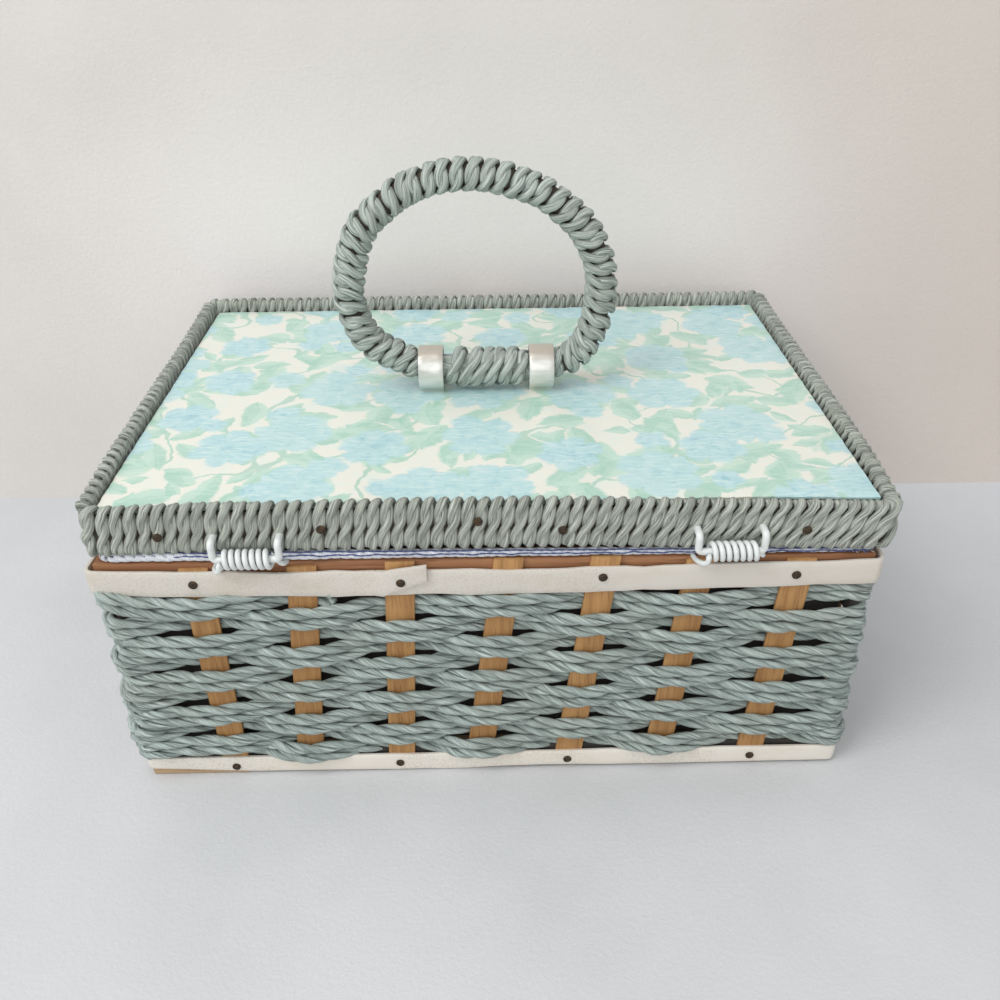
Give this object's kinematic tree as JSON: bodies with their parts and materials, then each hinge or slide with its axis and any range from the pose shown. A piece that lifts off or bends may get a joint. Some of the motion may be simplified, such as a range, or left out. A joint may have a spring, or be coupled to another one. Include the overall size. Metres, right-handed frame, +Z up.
{
  "type": "sewing basket",
  "caption": "Woven rectangular sewing basket with a cord-wound hinged lid, a clear-covered floral panel, a folding ring handle and a loop clasp.",
  "frame": {"origin": "centre of the underside of the base board, where the basket stands", "axes": "+Z up, +X along the hinge side to the right as seen from outside that side, +Y from the hinge side to the clasp side"},
  "size_m": [0.2862, 0.2114, 0.2198],
  "materials": {
    "base_wood": "raw",
    "turned_wood": "smooth",
    "rail_wood": "raw",
    "veneer_stakes": "raw, fine grain",
    "core_lath": "raw",
    "paper_cord": "matt twisted paper",
    "white_strip": "satin",
    "blue_white_braid": "matt",
    "floral_print": "printed",
    "clear_vinyl": "gloss",
    "lining": "matt",
    "coated_wire": "gloss",
    "pearl_strap": "pearly",
    "nail_metal": "dark, dull",
    "clasp_metal": "satin"
  },
  "bodies": {
    "basket": {"base_board": "base_wood", "top_rail_hinge_side": "rail_wood", "top_rail_clasp_side": "rail_wood", "top_rail_left": "rail_wood", "top_rail_right": "rail_wood", "stakes_hinge_side": "veneer_stakes", "stakes_clasp_side": "veneer_stakes", "stakes_left": "veneer_stakes", "stakes_right": "veneer_stakes", "woven_wall": "paper_cord", "bottom_strip": "white_strip", "top_strip": "white_strip", "bottom_strip_nails": "nail_metal", "top_strip_nails": "nail_metal", "rim_braid": "blue_white_braid", "lining_floor": "lining", "lining_hinge_side": "lining", "lining_clasp_side": "lining", "lining_left": "lining", "lining_right": "lining", "hinge_coil_left": "coated_wire", "hinge_coil_right": "coated_wire", "clasp_plate": "clasp_metal", "clasp_plate_nails": "nail_metal"},
    "lid": {"lid_hoop": "core_lath", "lid_board": "base_wood", "lid_print": "floral_print", "vinyl_cover": "clear_vinyl", "lid_lining": "lining", "lid_nails": "nail_metal", "winding_hinge_side": "paper_cord", "winding_clasp_side": "paper_cord", "winding_left": "paper_cord", "winding_right": "paper_cord", "hinge_wire_left": "coated_wire", "hinge_wire_right": "coated_wire", "strap_left": "pearl_strap", "strap_right": "pearl_strap", "strap_tacks": "nail_metal", "clasp_knob": "turned_wood"},
    "handle": {"handle_core": "core_lath", "handle_winding": "paper_cord"},
    "clasp_loop": {"clasp_loop": "coated_wire"}
  },
  "joints": [
    {"name": "lid_hinge", "type": "hinge", "parent": "basket", "child": "lid", "pos_m": [0, -0.09961, 0.1095], "axis": [1, 0, 0], "range_deg": [0, 105]},
    {"name": "handle_fold", "type": "hinge", "parent": "lid", "child": "handle", "pos_m": [0, 0, 0.1336], "axis": [1, 0, 0], "range_deg": [-90, 90]},
    {"name": "clasp_loop_swing", "type": "hinge", "parent": "basket", "child": "clasp_loop", "pos_m": [0, 0.103, 0.09775], "axis": [1, 0, 0], "range_deg": [0, 186]}
  ]
}
